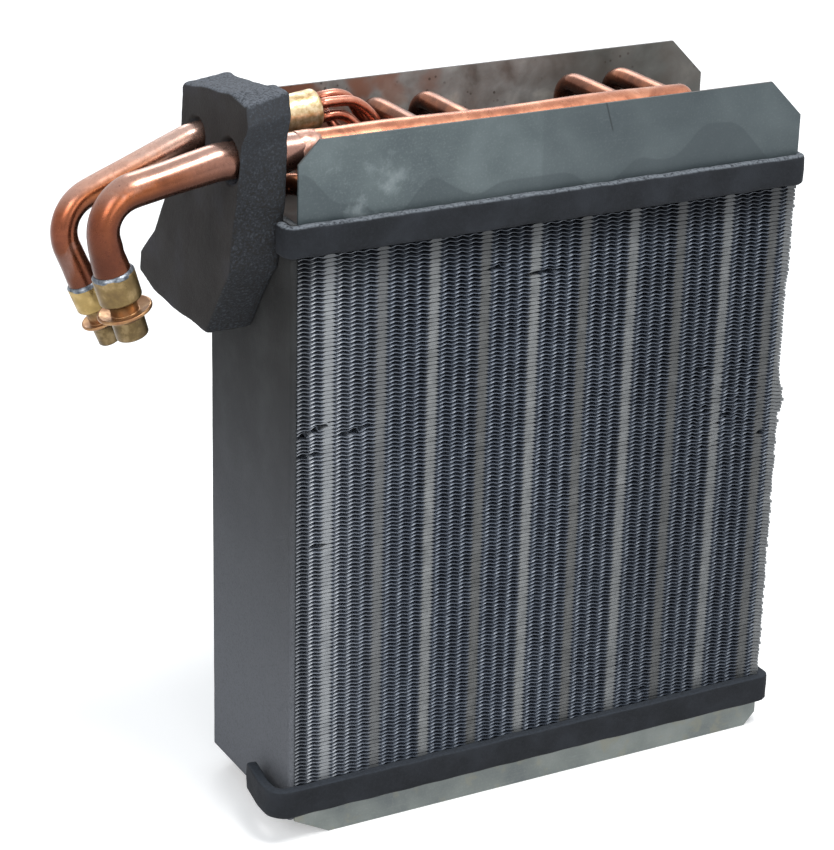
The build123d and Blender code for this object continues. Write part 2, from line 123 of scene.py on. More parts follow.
def grid_piece(name, rings, closed_path=False):
    """Surface through rings of points, given as (rings, round, 3).

    Neighbours are joined by quads. Both ends get a fan, or on a closed path the last ring meets the first.
    """
    rings = np.asarray(rings, float)
    rows, columns = rings.shape[:2]
    index = np.arange(rows * columns).reshape(rows, columns)
    if closed_path:
        index = np.concatenate([index, index[:1]])
    turned_on = np.roll(index, -1, axis=1)
    quads = np.stack([index[:-1], turned_on[:-1], turned_on[1:], index[1:]], axis=-1).reshape(-1, 4)
    points = rings.reshape(-1, 3)
    triangles = np.zeros((0, 3), int)
    if not closed_path:
        points = np.concatenate([points, [rings[0].mean(axis=0)], [rings[-1].mean(axis=0)]])
        first = np.full(columns, rows * columns)
        start_fan = np.stack([first, turned_on[0], index[0]], axis=-1)
        end_fan = np.stack([first + 1, index[-1], turned_on[-1]], axis=-1)
        triangles = np.concatenate([start_fan, end_fan])
    return piece_from(name, points, quads, triangles)


def path_length(path):
    """Length along a path up to each of its points."""
    return np.concatenate([[0], np.cumsum(np.linalg.norm(np.diff(path, axis=0), axis=1))])


def rounded_path(corners, radius, step=None):
    """Straight runs joined by touching arcs: centre - inward R cos t + arriving R sin t.

    The radius is one number, or one for each inner corner. The points are evenly spaced if a step is given.
    """
    corners = np.asarray(corners, float)
    parts = [corners[:1]]
    radii = np.broadcast_to(radius, len(corners) - 2)
    for before, corner, after, radius in zip(corners, corners[1:], corners[2:], radii):
        arriving, leaving = unit(corner - before), unit(after - corner)
        turn = np.arccos(np.clip(arriving @ leaving, -1, 1))
        inward = unit(leaving - arriving * cos(turn))
        centre = corner - arriving * radius * tan(turn / 2) + inward * radius
        angle = np.linspace(0, turn, max(3, int(turn * 9) + 1))[:, None]
        parts.append(centre - inward * radius * np.cos(angle) + arriving * radius * np.sin(angle))
    path = np.concatenate(parts + [corners[-1:]])
    if step is None:
        return path
    length = path_length(path)
    even = np.linspace(0, length[-1], int(length[-1] / step) + 1)
    return np.stack([np.interp(even, length, path[:, axis]) for axis in range(3)], axis=-1)


def flowing_path(corners, count=12):
    """Smooth curve drawn by the corners.

    From the middle a of one run to the middle b of the next it is (1-t)^2 a + 2t(1-t) corner + t^2 b.
    """
    corners = np.asarray(corners, float)
    middles = (corners[1:] + corners[:-1]) / 2
    t = np.linspace(0, 1, count, endpoint=False)[None, :, None]
    start, corner, end = middles[:-1, None], corners[1:-1, None], middles[1:, None]
    curve = (1 - t) ** 2 * start + 2 * t * (1 - t) * corner + t ** 2 * end
    return np.concatenate([corners[:1], curve.reshape(-1, 3), middles[-1:], corners[-1:]])


def tube(name, path, across, within=None, side=(0, 1, 0), sides=28):
    """Oval section carried along a path: centre + beside a cos t + up b sin t, both square to the tangent."""
    path = np.asarray(path, float)
    tangent = unit(np.gradient(path, axis=0))
    up = unit(np.cross(tangent, np.asarray(side, float)))
    beside = np.cross(up, tangent)
    across = np.broadcast_to(across, len(path))[:, None, None]
    within = across if within is None else np.broadcast_to(within, len(path))[:, None, None]
    angle = np.linspace(0, 2 * pi, sides, endpoint=False)[None, :, None]
    rings = path[:, None] + beside[:, None] * across * np.cos(angle)
    rings = rings + up[:, None] * within * np.sin(angle)
    return grid_piece(name, rings)


def softened(profile, cut):
    """Open or closed outline whose corners are each cut into three points, at most cut long."""
    profile = np.asarray(profile, float)
    before, after = np.roll(profile, 1, axis=0), np.roll(profile, -1, axis=0)
    reach_in = np.linalg.norm(before - profile, axis=1, keepdims=True)
    reach_out = np.linalg.norm(after - profile, axis=1, keepdims=True)
    entry = profile + (before - profile) / reach_in * np.minimum(cut, reach_in * 0.35)
    leave = profile + (after - profile) / reach_out * np.minimum(cut, reach_out * 0.35)
    middle = profile * 0.5 + (entry + leave) * 0.25
    return np.stack([entry, middle, leave], axis=1).reshape(-1, 2)


def turned(name, profile, start, direction, closed=True, sides=64, wobble=0.0, seed=0):
    """Outline (distance, radius) turned about an axis: start + direction d + (e cos t + f sin t) r."""
    direction = unit(direction)
    first = unit(np.cross(direction, (0, 1, 0.01)))
    second = np.cross(direction, first)
    profile = np.asarray(profile, float)
    angle = np.linspace(0, 2 * pi, sides, endpoint=False)[None, :, None]
    spoke = first * np.cos(angle) + second * np.sin(angle)
    rings = np.asarray(start, float) + direction * profile[:, 0, None, None]
    rings = rings + spoke * profile[:, 1, None, None]
    if wobble:
        rings = rings + spoke * (wobble * waviness(rings, 6.0, seed))[..., None]
    share = (profile[:, 0] - profile[:, 0].min()) / np.ptp(profile[:, 0])
    return mark_along(grid_piece(name, rings, closed_path=closed), share, sides)


def rounded_rectangle(width, height, radius, count=5):
    """Outline of a rectangle with round corners, centred, as points (across, up)."""
    angle = np.linspace(0, pi / 2, count)
    corners = []
    for quarter, (x, y) in enumerate([(1, 1), (-1, 1), (-1, -1), (1, -1)]):
        turn = angle + quarter * pi / 2
        across = x * (width / 2 - radius) + radius * np.cos(turn)
        upward = y * (height / 2 - radius) + radius * np.sin(turn)
        corners.append(np.stack([across, upward], axis=-1))
    return np.concatenate(corners)


def dense(outline, step):
    """Closed outline resampled at even spacing."""
    closed = np.concatenate([outline, outline[:1]])
    length = path_length(closed)
    even = np.linspace(0, length[-1], int(length[-1] / step), endpoint=False)
    return np.stack([np.interp(even, length, closed[:, axis]) for axis in range(2)], axis=-1)


def strip(name, path, profile, up, rough, wavelength, seed):
    """Flat profile carried along a path: centre + side a + up b, pushed outward by an irregular height."""
    path = np.asarray(path, float)
    tangent = unit(np.gradient(path, axis=0))
    side = unit(np.cross(tangent, np.asarray(up, float)))
    upward = np.cross(side, tangent)
    middle = path[:, None]
    rings = middle + side[:, None] * profile[None, :, 0, None]
    rings = rings + upward[:, None] * profile[None, :, 1, None]
    outward = unit(rings - middle)
    rings = rings + outward * (rough * waviness(rings, wavelength, seed))[..., None]
    return grid_piece(name, rings)


def tube_place(row, number):
    """Centre (x, y) of one tube, counted from the left."""
    return ROW_X[row] + (number - 1) * TUBE_PITCH, ROW_Y[row]


# Finishes

def tint(code):
    """Colour written as six hex digits, as linear values."""
    value = np.array([int(code[k:k + 2], 16) / 255 for k in (0, 2, 4)])
    linear = np.where(value <= 0.04045, value / 12.92, ((value + 0.055) / 1.055) ** 2.4)
    return (*linear.tolist(), 1.0)


class Finish:
    """One material and the few kinds of node that build it. Patterns read Object coordinates, in metres."""

    def __init__(self, name, metallic=0.0, roughness=0.6, specular=0.5):
        self.material = bpy.data.materials.new(name)
        self.material.use_nodes = True
        self.tree = self.material.node_tree
        self.shader = self.tree.nodes["Principled BSDF"]
        self.shader.inputs["Metallic"].default_value = metallic
        self.shader.inputs["Roughness"].default_value = roughness
        self.shader.inputs["Specular IOR Level"].default_value = specular
        self.place = self.tree.nodes.new("ShaderNodeTexCoord").outputs["Object"]

    def join(self, value, socket):
        """Links an output to a socket, or writes a plain value into it."""
        if isinstance(value, bpy.types.NodeSocket):
            self.tree.links.new(value, socket)
        elif isinstance(value, str):
            socket.default_value = tint(value)
        else:
            socket.default_value = value

    def node(self, kind, inputs):
        """A new node of one kind, with plain values or outputs of other nodes in its inputs."""
        node = self.tree.nodes.new("ShaderNode" + kind)
        for label, value in inputs.items():
            self.join(value, node.inputs[label])
        return node

    def mapped(self, scale):
        """Object coordinates, stretched along the axes."""
        return self.node("Mapping", {"Scale": scale, "Vector": self.place}).outputs["Vector"]

    def cloud(self, size, detail=4.0, rough=0.55, twist=0.0, place=None):
        """Noise whose features are about size millimetres wide."""
        return self.node("TexNoise", {
            "Scale": 1 / (size * MM), "Detail": detail, "Roughness": rough, "Distortion": twist,
            "Vector": self.place if place is None else place}).outputs["Fac"]

    def spots(self, size):
        """Distance to the nearest of scattered points about size millimetres apart."""
        return self.node("TexVoronoi", {"Scale": 1 / (size * MM), "Vector": self.place}).outputs["Distance"]

    def ramp(self, value, *stops):
        """Colours or levels spread over a value, each stop given as (position, colour code or level)."""
        node = self.node("ValToRGB", {"Fac": value})
        elements = node.color_ramp.elements
        while len(elements) < len(stops):
            elements.new(0.5)
        for element, (position, colour) in zip(elements, stops):
            element.position = position
            element.color = tint(colour) if isinstance(colour, str) else (colour, colour, colour, 1.0)
        return node.outputs["Color"]

    def mix(self, share, first, second):
        """Two colours mixed by a share."""
        node = self.tree.nodes.new("ShaderNodeMix")
        node.data_type = "RGBA"
        self.join(share, node.inputs[0])
        self.join(first, node.inputs[6])
        self.join(second, node.inputs[7])
        return node.outputs[2]

    def part(self, share, amount):
        """A share of an amount: their product."""
        return self.calc("MULTIPLY", share, amount)

    def over(self, share, amount, base, colour):
        """A colour laid over the base by the product of a share and an amount."""
        return self.mix(self.part(share, amount), base, colour)

    def calc(self, kind, first, second=0.0):
        """One arithmetic step on plain values."""
        node = self.node("Math", {0: first, 1: second})
        node.operation = kind
        return node.outputs[0]

    def between(self, value, low, high):
        """0 below low, 1 above high, smooth in between."""
        node = self.node("MapRange", {"Value": value, "From Min": low, "From Max": high})
        node.interpolation_type = "SMOOTHSTEP"
        return node.outputs["Result"]

    def coordinate(self, axis):
        """One Object coordinate, in metres."""
        return self.node("SeparateXYZ", {"Vector": self.place}).outputs[axis]

    def facing(self, axis):
        """One component of the surface normal."""
        normal = self.tree.nodes.new("ShaderNodeNewGeometry").outputs["Normal"]
        return self.node("SeparateXYZ", {"Vector": normal}).outputs[axis]

    def attribute(self, name):
        """A value stored on the mesh points."""
        node = self.tree.nodes.new("ShaderNodeAttribute")
        node.attribute_name = name
        return node.outputs["Fac"]

    def bump(self, height, depth, strength=1.0):
        """Small relief of the given depth in millimetres."""
        node = self.node("Bump", {"Strength": strength, "Distance": depth * MM, "Height": height})
        self.join(node.outputs["Normal"], self.shader.inputs["Normal"])

    def colour(self, value):
        self.join(value, self.shader.inputs["Base Color"])

    def roughness(self, value):
        self.join(value, self.shader.inputs["Roughness"])


def fin_finish():
    """Thin aluminium: a painted highlight in short strokes on the rising side of each ripple, calmer bands at
    the tubes, painted shade inside.
    """
    paint = Finish("rippled fins", metallic=0.3, roughness=0.45)
    slope = paint.attribute("slope")
    band = paint.attribute("band")
    depth = paint.calc("SUBTRACT", HALF_DEPTH * MM, paint.calc("ABSOLUTE", paint.coordinate(1)))
    mottle = paint.cloud(14.0, detail=5.0)
    ground = paint.ramp(mottle, (0.3, "454b55"), (0.5, "525965"), (0.7, "5e6672"))
    # Painted highlight: the rising side of each ripple is lighter, by its slope, and more so at the left.
    painted_slope_highlight = paint.ramp(paint.cloud(2.6), (0.32, "707783"), (0.5, "8b939f"), (0.68, "aab1bc"))
    bright_left = paint.between(paint.coordinate(0), -0.09, -0.115)
    painted_slope_highlight = paint.over(bright_left, 0.45, painted_slope_highlight, "f0f2f5")
    surface = paint.mix(paint.between(slope, 0.25, 0.9), ground, painted_slope_highlight)
    # Bands at the tubes, alternately paler and browner.
    pale_band = paint.ramp(paint.cloud(6.0, detail=4.0), (0.3, "616364"), (0.7, "7b7d7e"))
    brown_band = paint.ramp(paint.cloud(6.0, detail=4.0), (0.3, "434444"), (0.7, "5a5b5b"))
    surface = paint.mix(paint.between(band, 0.0, 0.9), surface, pale_band)
    surface = paint.mix(paint.between(paint.part(band, -1.0), 0.0, 0.9), surface, brown_band)
    # Painted shade: deeper than a few millimetres inside the stack the fins turn a flat dark blue grey.
    surface = paint.mix(paint.between(depth, 0.002, 0.009), surface, "495059")
    left_side = paint.between(paint.coordinate(0), -0.06, -0.127)
    surface = paint.over(left_side, 0.2, surface, "b9bec6")
    right_side = paint.between(paint.coordinate(0), 0.0, 0.06)
    surface = paint.over(right_side, 0.22, surface, "1c2026")
    # Painted shadow: the fins darken along the left edge, next to the pad.
    shade_at_left_edge = paint.between(paint.coordinate(0), -0.1195, -0.1225)
    surface = paint.over(shade_at_left_edge, 0.5, surface, "303338")
    # Painted shadow: the fins darken in a strip just under the top belt.
    shade_under_belt = paint.between(paint.coordinate(2), 0.258, 0.279)
    surface = paint.over(shade_under_belt, 0.6, surface, "26272a")
    paint.colour(surface)
    paint.bump(paint.cloud(0.9), 0.05, 0.4)
    return paint.material


def sheet_finish(name, light, middle, dark, top=False):
    """Galvanised sheet: cloudy blue grey with fine rolling lines.

    The top sheet has tide marks, chalky spots and one scratch outside, and brown stains and specks inside. On
    the left inside it has a painted reddish-brown reflection of the copper, and its faces that look up carry
    painted shade.
    """
    paint = Finish(name, metallic=0.25, roughness=0.5)
    clouds = paint.cloud(30.0, detail=6.0, rough=0.5, twist=0.2)
    base = paint.ramp(clouds, (0.32, dark), (0.5, middle), (0.68, light))
    lines = paint.cloud(1.2, detail=3.0, place=paint.mapped((0.05, 1, 1)))
    base = paint.over(paint.between(lines, 0.5, 0.75), 0.16, base, light)
    fine = paint.cloud(1.0, detail=3.0)
    base = paint.over(paint.between(fine, 0.5, 0.7), 0.05, base, "c8cccb")
    if top:
        x, y, z = (paint.coordinate(axis) for axis in range(3))
        facing_front = paint.between(paint.facing(1), -0.3, -0.6)
        inside = paint.part(paint.between(y, 0.030, 0.039), facing_front)
        tide = paint.part(paint.cloud(52.0, detail=1.0, place=paint.mapped((1, 0, 0))), 0.085)
        below = paint.between(paint.calc("SUBTRACT", paint.calc("ADD", tide, 0.2585), z), -0.0006, 0.0006)
        base = paint.over(below, 0.4, base, "30393d")
        base = paint.over(paint.between(x, -0.0105, -0.0085), 0.2, base, "30383d")
        base = paint.over(paint.between(x, -0.1, 0.06), 0.36, base, "30383d")
        leaning = paint.calc("ADD", paint.part(z, 0.31), x)
        away = paint.calc("ABSOLUTE", paint.calc("SUBTRACT", leaning, 0.1243))
        scratch = paint.part(paint.between(away, 0.0006, 0.0002), paint.between(z, 0.316, 0.318))
        scratch = paint.part(scratch, paint.between(y, 0.0, -0.01))
        base = paint.over(scratch, 0.8, base, "22282b")
        chalk = paint.between(paint.cloud(16.0, detail=6.0), 0.5, 0.72)
        chalk = paint.part(paint.between(x, -0.06, -0.09), chalk)
        base = paint.over(chalk, 0.36, base, "aab4b6")
        grey = paint.ramp(
            paint.cloud(17.0, detail=6.0, twist=0.3), (0.32, "5c5753"), (0.45, "767471"), (0.58, "888886"),
            (0.75, "b0afa9"))
        grey = paint.over(paint.between(x, 0.02, 0.07), 0.72, grey, "3a3b36")
        base = paint.mix(inside, base, grey)
        # Brown stains inside; to the left they turn into a painted reddish-brown reflection of the copper.
        stain_and_reflection = paint.part(paint.between(paint.cloud(24.0, detail=3.0), 0.44, 0.6), inside)
        base = paint.over(stain_and_reflection, paint.between(x, 0.03, -0.08), base, "7d5341")
        base = paint.over(stain_and_reflection, 0.1, base, "6d5346")
        spots = paint.part(paint.between(paint.spots(4.4), 0.2, 0.1), inside)
        spots = paint.part(spots, paint.between(paint.cloud(14.0), 0.46, 0.56))
        base = paint.over(spots, 0.75, base, "362a24")
        # Painted shade: faces that look up, in the channel under the bends, turn dark brown.
        base = paint.over(paint.between(paint.facing(2), 0.6, 0.9), 0.65, base, "3d322c")
    else:
        stain = paint.between(paint.cloud(9.0, detail=6.0, twist=0.5), 0.52, 0.66)
        base = paint.over(stain, 0.4, base, "87836f")
    paint.colour(base)
    paint.roughness(paint.ramp(clouds, (0.3, 0.42), (0.7, 0.6)))
    paint.bump(paint.cloud(7.0, detail=5.0), 0.2, 0.4)
    return paint.material


def copper_finish(name, dark, middle, bright, pale, size=16.0, along=None, top_highlight=0.4):
    """Copper: brown to orange clouds, a painted highlight pale on top, painted shade browner below, with dark
    specks.
    """
    paint = Finish(name, metallic=0.9, roughness=0.3)
    clouds = paint.cloud(size, detail=5.0, twist=0.4)
    base = paint.ramp(clouds, (0.30, dark), (0.46, middle), (0.6, bright), (0.76, pale))
    if along:
        base = paint.mix(0.6, base, paint.ramp(paint.attribute("along"), *along))
    height = paint.facing(2)
    # Painted highlight: faces that look up are paler.
    base = paint.over(paint.between(height, 0.35, 0.9), top_highlight, base, pale)
    # Painted shade: faces that look down are darker.
    base = paint.over(paint.between(height, 0.38, -0.42), 0.82, base, dark)
    specks = paint.between(paint.spots(4.2), 0.14, 0.05)
    base = paint.over(specks, 0.35, base, "2e1c16")
    fine = paint.cloud(1.3, detail=3.0)
    base = paint.over(paint.between(fine, 0.5, 0.7), 0.16, base, dark)
    paint.colour(base)
    paint.roughness(paint.ramp(paint.cloud(5.0), (0.3, 0.2), (0.7, 0.34)))
    paint.bump(paint.cloud(2.4, detail=4.0), 0.04, 0.5)
    return paint.material


def brass_finish(name, collar, collar_foot):
    """Brass that changes down the fitting: olive collar, coppery flange, dark barrel."""
    paint = Finish(name, metallic=0.85, roughness=0.33)
    zones = paint.ramp(
        paint.attribute("along"), (0.0, collar), (0.38, collar_foot), (0.46, "553b25"), (0.56, "96684a"),
        (0.64, "b08360"), (0.72, "4f3f2b"), (1.0, "5a4b38"))
    clouds = paint.ramp(paint.cloud(5.0, detail=5.0), (0.32, "42341f"), (0.5, "75633c"), (0.7, "bda579"))
    paint.colour(paint.mix(0.38, zones, clouds))
    paint.roughness(paint.ramp(paint.cloud(3.0), (0.3, 0.25), (0.7, 0.5)))
    paint.bump(paint.cloud(1.2), 0.05, 0.4)
    return paint.material


def solder_finish(name, dark, light):
    """Solder: dull silver with bright runs."""
    paint = Finish(name, metallic=0.7, roughness=0.35)
    paint.colour(paint.ramp(paint.cloud(2.6, detail=4.0), (0.35, dark), (0.65, light)))
    paint.bump(paint.cloud(1.8), 0.25, 0.7)
    return paint.material


def foam_finish(name, dark, middle, light, grain, depth, top_colour, side_colour=None, sawn=None, faded=None):
    """Closed-cell foam: near black skin with a fine grain and a top painted lighter, as light falling on it.

    With a sawn colour its front side is speckled, and with a faded one its lower part is paler.
    """
    paint = Finish(name, roughness=0.85, specular=0.18)
    clouds = paint.cloud(22.0, detail=5.0)
    base = paint.ramp(clouds, (0.3, dark), (0.5, middle), (0.72, light))
    cells = paint.cloud(grain, detail=3.0, rough=0.7)
    if faded:
        base = paint.mix(paint.between(paint.coordinate(2), 0.26, 0.02), base, faded)
    if sawn:
        front_side = paint.between(paint.facing(1), -0.45, -0.7)
        speckled = paint.ramp(cells, (0.38, dark), (0.55, side_colour), (0.7, sawn))
        upper = paint.between(paint.coordinate(2), 0.30, 0.352)
        speckled = paint.over(upper, 0.15, speckled, top_colour)
        base = paint.mix(front_side, base, speckled)
    # Painted light: faces that look up turn from the side colour towards the lighter top colour, speckled by
    # the grain.
    lit_top_share = paint.between(paint.facing(2), 0.35, 0.85)
    mottle = paint.ramp(cells, (0.35, side_colour or light), (0.6, top_colour))
    base = paint.mix(lit_top_share, base, mottle)
    base = paint.over(paint.between(cells, 0.45, 0.68), 0.3, base, light)
    paint.colour(base)
    paint.bump(cells, depth, 0.8)
    return paint.material


def dress(piece, material, body_slot, *nodes):
    """Gives a piece its material, lets it ride on the only body and hides the solids it stands for."""
    piece.data.materials.append(material)
    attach(piece, "root")
    if nodes:
        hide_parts(*nodes)
    return piece


# Fins

# Opened cracks between bent fins on the front face: centre x, centre z, half width, opening, slant
CRACKS = np.array([
    [-120.0, 199.6, 8.0, 1.2, 0.34], [-99.0, 196.6, 7.0, 1.0, 0.12], [-122.0, 188.4, 6.0, 0.9, 0.05],
    [-117.0, 144.8, 4.0, 0.6, 0.1], [-6.0, 256.3, 8.5, 0.8, -0.05], [57.5, 34.2, 3.0, 0.9, 0.0],
    [-30.0, 262.0, 5.0, 0.6, 0.1], [82.0, 196.0, 3.0, 0.8, 0.0], [118.5, 158.0, 2.5, 1.0, 0.0],
    [97.0, 170.5, 3.0, 0.6, 0.0],
])
# Patch of small dents on the front face: centre x and z, half width and half height
DENTS = (96.0, 174.0, 22.0, 24.0)
COLUMNS = 319
# How far the bands lie from the front tubes
PATTERN_SHIFT = -4.3
CALM_LEFT, CALM_RIGHT, CALM_FADE = 0.9, 1.3, 2.9
RIPPLE = 0.34
RIPPLE_LENGTH = TUBE_PITCH / 4
RIPPLE_PHASE = 3.7
# The fins' right ends form one more, weaker band
END_BAND_X = 122.5
END_BAND = 0.8
THIN_HALF, BAND_HALF, INNER_HALF = 0.15, 0.63, 0.1


def fin_rows(first, last):
    """Points of the fins first to last, and their slope and band for the finish.

    z = level - A cos(2 pi (d - phase) / length) away from the calm bands, where d is the distance from the
    nearest band. Cracks push neighbours apart, and dents add small irregular heights.
    """
    count = last - first
    x = np.linspace(-HALF_LENGTH, HALF_LENGTH, COLUMNS)[None, :]
    number = np.arange(first, last)[:, None]
    spread = np.random.default_rng(70 + first)
    level = FIRST_FIN_Z + number * FIN_PITCH + spread.normal(0, 0.04, (count, 1)) + 0 * x
    level = level + 0.16 * waviness(np.stack([x + 0 * level, 0 * level, level], axis=-1), 17.0, 5)

    turned_from = x - ROW_X["front"] - PATTERN_SHIFT
    from_tube = (turned_from + TUBE_PITCH / 2) % TUBE_PITCH - TUBE_PITCH / 2
    calm = np.clip((np.abs(from_tube) - np.where(from_tube > 0, CALM_RIGHT, CALM_LEFT)) / CALM_FADE, 0, 1)
    calm = calm * calm * (3 - 2 * calm)
    wave = 2 * pi * (from_tube - RIPPLE_PHASE) / RIPPLE_LENGTH
    slope = np.sin(wave) * calm
    tube_number = np.round(turned_from / TUBE_PITCH)
    band = (1 - calm) * np.where(tube_number % 2 == 0, 1.0, -1.0)
    band = np.where(x > END_BAND_X, END_BAND, band) + 0 * level

    back_z = level - RIPPLE * np.cos(wave) * calm
    z = back_z
    dark = 0 * z
    for crack_x, crack_z, wide, opening, slant in CRACKS:
        near = np.exp(-((x - crack_x) / wide) ** 4)
        away = level - crack_z - slant * (x - crack_x)
        z = z + opening * np.sign(away) * np.exp(-np.abs(away) / 2.2) * near
        dark = np.maximum(dark, np.exp(-(away / 1.3) ** 2) * near)

    places = np.stack([x + 0 * z, 0 * z, z], axis=-1)
    front = spread.normal(0, 0.06, (count, 1)) - HALF_DEPTH + 0.2 * waviness(places, 22.0, 3)
    front = front + 0.8 * dark
    dent_x, dent_z, dent_width, dent_height = DENTS
    dented = np.exp(-((x - dent_x) / dent_width) ** 4 - ((level - dent_z) / dent_height) ** 4)
    z = z + dented * 0.45 * waviness(places, 3.6, 8)
    front = front + dented * 0.35 * (1 + waviness(places, 5.0, 9))

    # Right ends, pulled out near z 175 and pressed in near z 212
    ragged = spread.normal(0.2, 0.3, (count, 1)) + 2.0 * np.exp(-((level - 175.0) / 8.0) ** 4)
    ragged = ragged - 1.3 * np.exp(-((level - 212.0) / 27.0) ** 4)
    ends = x + 0 * z
    ends = np.where(x > HALF_LENGTH - 0.5, ends + np.clip(ragged, -1.8, 3.4), ends)

    back_half = THIN_HALF + BAND_HALF * np.where(x > END_BAND_X, END_BAND, 1 - calm) + 0 * z
    front_half = back_half * (1 - 0.6 * dark)
    back = HALF_DEPTH + 0 * z
    middle, middle_z = 0 * z, (z + back_z) / 2
    rings = [
        (front, z + front_half), (front, z - front_half), (middle, middle_z - INNER_HALF),
        (back, back_z - back_half), (back, back_z + back_half), (middle, middle_z + INNER_HALF)]
    points = np.stack([np.stack([ends, y, height], axis=-1) for y, height in rings], axis=2)
    return points, slope + 0 * z, band


def fin_piece(name, first, last):
    """Fins as thin closed strips: six long edges each, joined round, and closed at both ends by two quads."""
    points, slope, band = fin_rows(first, last)
    fins, columns, around = points.shape[:3]
    index = np.arange(fins * columns * around).reshape(fins, columns, around)
    ahead = np.roll(index, -1, axis=2)
    quads = np.stack([index[:, :-1], index[:, 1:], ahead[:, 1:], ahead[:, :-1]], axis=-1).reshape(-1, 4)
    caps = [index[:, column][:, order] for column, order in (
        (0, (0, 1, 2, 5)), (0, (5, 2, 3, 4)), (columns - 1, (5, 2, 1, 0)), (columns - 1, (4, 3, 2, 5)))]
    faces, no_triangles = np.concatenate([quads] + caps), np.zeros((0, 3), int)
    piece = piece_from(name, points.reshape(-1, 3), faces, no_triangles, smooth=False)
    store(piece, "slope", np.repeat(slope.ravel(), around))
    store(piece, "band", np.repeat(band.ravel(), around))
    return piece


fin_material = fin_finish()
fin_splits = np.linspace(0, FIN_COUNT, 5).astype(int)
for part_number, (first, last) in enumerate(zip(fin_splits, fin_splits[1:]), start=1):
    dress(fin_piece(f"fins_part_{part_number}", int(first), int(last)), fin_material, "fin_aluminium", "fins")

# Tubes and bends

tube_copper = copper_finish("tube copper", "6b4030", "96593f", "b8734f", "d69b7c")
# Tones along the pipe from the header: pale on the straight run, its copper lifted by painted highlight,
# orange at the bend, and dark down the leg as painted shade.
PIPE_TONES = (
    (0.0, "c49c90"), (0.34, "a87c6c"), (0.48, "8e583e"), (0.62, "98532f"), (0.76, "7a402c"), (1.0, "4e2f25"))
pipe_copper = copper_finish(
    "pipe copper", "41261d", "6e4232", "965a39", "d4b8ad", size=20.0, along=PIPE_TONES)
# The same for the liquid pipe: painted highlight on the straight run, painted shade down the leg.
LIQUID_TONES = (
    (0.0, "d3b3a7"), (0.34, "bd9888"), (0.48, "ac6e4d"), (0.62, "b0663c"), (0.76, "8e4c36"), (1.0, "60392c"))
liquid_copper = copper_finish(
    "liquid copper", "4a2c22", "7e4e3a", "aa6a46", "ecd2c8", size=18.0, along=LIQUID_TONES)
line_copper = copper_finish("line copper", "8a4a38", "b56c55", "d08c74", "ecbba8", size=10.0, top_highlight=0.3)
header_copper = copper_finish("header copper", "85462f", "b26c4e", "cb8869", "e4b29b", size=12.0, top_highlight=0.2)

HAIRPINS = [(("back", k), ("back", k + 1)) for k in (2, 4, 6, 8)]
HAIRPINS += [(("middle", k), ("middle", k + 1)) for k in (2, 4, 6, 8)]
HAIRPINS += [(("front", k), ("front", k + 1)) for k in (1, 3, 5, 7, 9)]
HAIRPINS += [(("back", 1), ("middle", 1)), (("back", 10), ("middle", 10))]
RETURNS = [
    (("back", 1), ("back", 2)), (("middle", 1), ("front", 1)), (("front", 2), ("middle", 2)),
    (("back", 5), ("middle", 5)), (("middle", 4), ("front", 3)), (("front", 4), ("front", 5)),
    (("back", 6), ("middle", 6)), (("middle", 7), ("front", 7)), (("back", 9), ("back", 10)),
    (("middle", 10), ("front", 10)), (("front", 9), ("middle", 9)),
]


def joined(name, pieces):
    """Several meshes put together as one piece."""
    bpy.ops.object.select_all(action="DESELECT")
    for piece in pieces:
        piece.select_set(True)
    bpy.context.view_layer.objects.active = pieces[0]
    bpy.ops.object.join()
    pieces[0].name = name
    pieces[0].data.name = name
    return pieces[0]


def bend_between(name, first, second, leg_start, turn_z, direction):
    """U of round tube: along one leg, half a ring across, and back. The ring's radius is half the spacing."""
    start, end = np.array(tube_place(*first)), np.array(tube_place(*second))
    radius = np.linalg.norm(end - start) / 2
    peak = turn_z + direction * radius
    corners = [(*start, leg_start), (*start, peak), (*end, peak), (*end, leg_start)]
    across = np.cross([*(end - start), 0.0], [0.0, 0.0, 1.0])
    return tube(name, rounded_path(corners, radius - 0.02), TUBE_RADIUS, side=unit(across), sides=20)


hairpins = [
    bend_between(f"hairpin_{k}", first, second, TUBE_TOP, BOTTOM_WEB - 0.45, -1)
    for k, (first, second) in enumerate(HAIRPINS)
]
dress(joined("hairpin_tubes_round", hairpins), tube_copper, "tube_copper", "hairpin_tubes")
returns = [
    bend_between(f"return_{k}", first, second, TUBE_TOP, TUBE_TOP, 1)
    for k, (first, second) in enumerate(RETURNS)
]
dress(joined("return_bends_round", returns), tube_copper, "tube_copper", "return_bends")

OUTLET_Z = 322.6
OUTLET_LEAN = 3.0
OUTLET_BEND = 12.0
OUTLET_BEND_AT = 34.0
outlets = []
for number in (3, 4, 7, 8):
    x, y = tube_place("back", number)
    top_x = x - OUTLET_LEAN
    corners = [(x, y, TUBE_TOP), (top_x, y, OUTLET_Z), (top_x, HEADER[1] + 5.0, OUTLET_Z)]
    path = rounded_path(corners, OUTLET_BEND, step=2.0)
    bend = np.exp(-((path_length(path) - OUTLET_BEND_AT) / 9.0) ** 2)
    across, within = TUBE_RADIUS * (1 + 0.05 * bend), TUBE_RADIUS * (1 - 0.12 * bend)
    outlets.append(tube(f"outlet_{number}", path, across, within, side=(1, 0, 0)))
outlet_copper = copper_finish("outlet copper", "45291f", "6d4333", "905a42", "b57d60", size=14.0, top_highlight=0.2)
dress(joined("outlet_tubes_round", outlets), outlet_copper, "tube_copper", "outlet_tubes")

# Header and the two pipes

SUCTION_RADIUS = HEADER_RADIUS
LIQUID_RADIUS = 6.35
PIPE_BEND_RADIUS = 17.0
JOINT_GAP = 0.25
